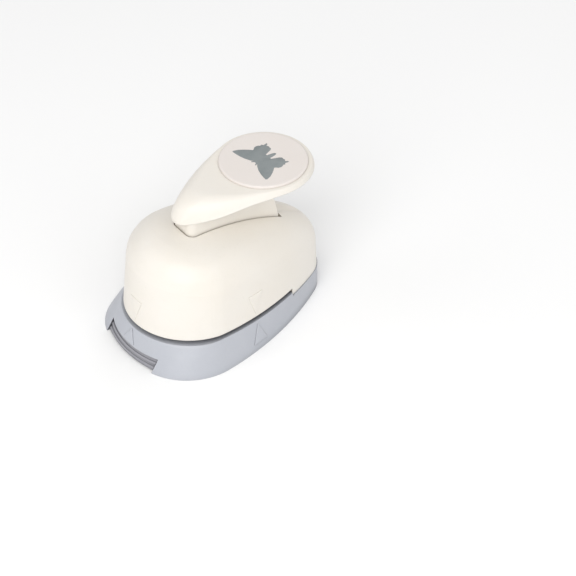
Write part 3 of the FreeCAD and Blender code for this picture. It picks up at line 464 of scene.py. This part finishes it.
def makeSpring(name, nodeName):
    look = springShape
    low, high = (Vector(corner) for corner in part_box(nodeName))
    wire = look["wireRadius"] * mm
    coil = (high.x - low.x) / 2 - wire
    height = high.z - low.z
    travel = next(joint for joint in frame["joints"] if joint["name"] == "punch_slide")["range_m"][1]
    letGo()
    bpy.ops.mesh.primitive_circle_add(
        vertices=look["wireSides"], radius=wire, fill_type="NOTHING", rotation=(math.pi / 2, 0, 0))
    piece = bpy.context.object
    piece.name = name
    bpy.ops.object.transform_apply(location=True, rotation=True, scale=True)
    for vertex in piece.data.vertices:
        vertex.co.x += coil
    winding = piece.modifiers.new("winding", "SCREW")
    winding.axis = "Z"
    winding.angle = math.radians(360 * look["turns"])
    winding.screw_offset = height - 2 * wire
    winding.steps = round(look["stepsPerTurn"] * look["turns"])
    winding.render_steps = winding.steps
    applyAll(piece)
    bpy.ops.object.mode_set(mode="EDIT")
    bpy.ops.mesh.select_all(action="SELECT")
    bpy.ops.mesh.fill_holes(sides=0)
    bpy.ops.object.mode_set(mode="OBJECT")
    outward(piece)
    piece.location = ((low.x + high.x) / 2, (low.y + high.y) / 2, low.z + wire)
    applyAll(piece)
    bpy.ops.object.shade_smooth_by_angle(angle=math.radians(40))
    piece.data.materials.append(materials["spring_steel"])
    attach(piece, "frame")
    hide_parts(nodeName)
    (height - travel) / height
    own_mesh(piece)


for side in ("left", "right"):
    makeSpring("coil_spring_" + side, "return_spring_" + side)
print("springs wound")


# floor, world and lamps
studio = {
    "floorSize": 3.0, "floorColour": (0.95, 0.95, 0.95, 1.0),
    "worldColour": (1.0, 1.0, 1.0, 1.0), "worldStrength": 0.56,
    "aim": (0.0, 0.0, 0.03),
    "lamps": [  # name, azimuth, elevation, distance, width, power, colour
        ("keyLamp", 40.0, 40.0, 1.2, 1.0, 8.3, (1.0, 0.996, 0.985)),
        ("sideLamp", 100.0, 42.0, 1.2, 0.8, 2.0, (0.98, 0.99, 1.0)),
        ("frontLamp", -30.0, 30.0, 1.2, 0.8, 1.3, (0.99, 0.995, 1.0)),
        ("backLamp", 200.0, 45.0, 1.2, 0.8, 1.6, (1.0, 1.0, 1.0)),
    ],
}


def paleFloor():
    material, start = newMaterial("paleFloor")
    place = start.add("TexCoord", out=3)
    grain = noise(place, 0.8, 3.0, 0.6)
    bump = start.add("Bump", None, {"Strength": 0.3, "Distance": 0.02 * mm, "Height": grain})
    return closeMaterial(material, start, {"Normal": bump}, {
        "Base Color": studio["floorColour"], "Roughness": 0.8})


letGo()
bpy.ops.mesh.primitive_plane_add(size=studio["floorSize"], location=(0, 0, 0))
floor = bpy.context.object
floor.name = "studio_floor"
floor.data.materials.append(paleFloor())

world = bpy.data.worlds.new("studioWorld")
bpy.context.scene.world = world
world.use_nodes = True
sky = world.node_tree.nodes["Background"]
sky.inputs["Color"].default_value = studio["worldColour"]
sky.inputs["Strength"].default_value = studio["worldStrength"]

for name, azimuth, elevation, distance, width, power, colour in studio["lamps"]:
    turn = math.radians(azimuth)
    rise = math.radians(elevation)
    back = Vector((math.sin(turn) * math.cos(rise), -math.cos(turn) * math.cos(rise), math.sin(rise)))
    letGo()
    bpy.ops.object.light_add(type="AREA", location=Vector(studio["aim"]) + back * distance)
    lamp = bpy.context.object
    lamp.name = name
    lamp.data.shape = "DISK"
    lamp.data.size = width
    lamp.data.energy = power
    lamp.data.color = colour
    lamp.rotation_euler = back.to_track_quat("Z", "Y").to_euler()
print("floor and lamps set")


# camera
viewPoint = {
    "azimuth": 53.6, "elevation": 40.2, "distance": 970.39, "sideways": 26.24, "upwards": 7.888,
    "target": (0.0, 0.45, 0.0), "lens": 156.25,
}


def placeCamera(look):
    turn = math.radians(look["azimuth"])
    rise = math.radians(look["elevation"])
    back = Vector((math.sin(turn) * math.cos(rise), -math.cos(turn) * math.cos(rise), math.sin(rise)))
    right = Vector((math.cos(turn), math.sin(turn), 0.0))
    up = back.cross(right)
    spot = back * look["distance"] + right * look["sideways"] + up * look["upwards"] + Vector(look["target"])
    letGo()
    bpy.ops.object.camera_add()
    camera = bpy.context.object
    camera.name = "studioCamera"
    camera.matrix_world = Matrix.Translation(spot * mm) @ Matrix((right, up, back)).transposed().to_4x4()
    camera.data.lens = look["lens"]
    camera.data.sensor_width = 36.0
    camera.data.clip_start = 0.01
    camera.data.clip_end = 10.0
    bpy.context.scene.camera = camera


placeCamera(viewPoint)
bpy.context.scene.view_settings.view_transform = "Standard"
bpy.context.scene.view_settings.look = "None"
bpy.context.scene.view_settings.exposure = 0.0
print("camera set")
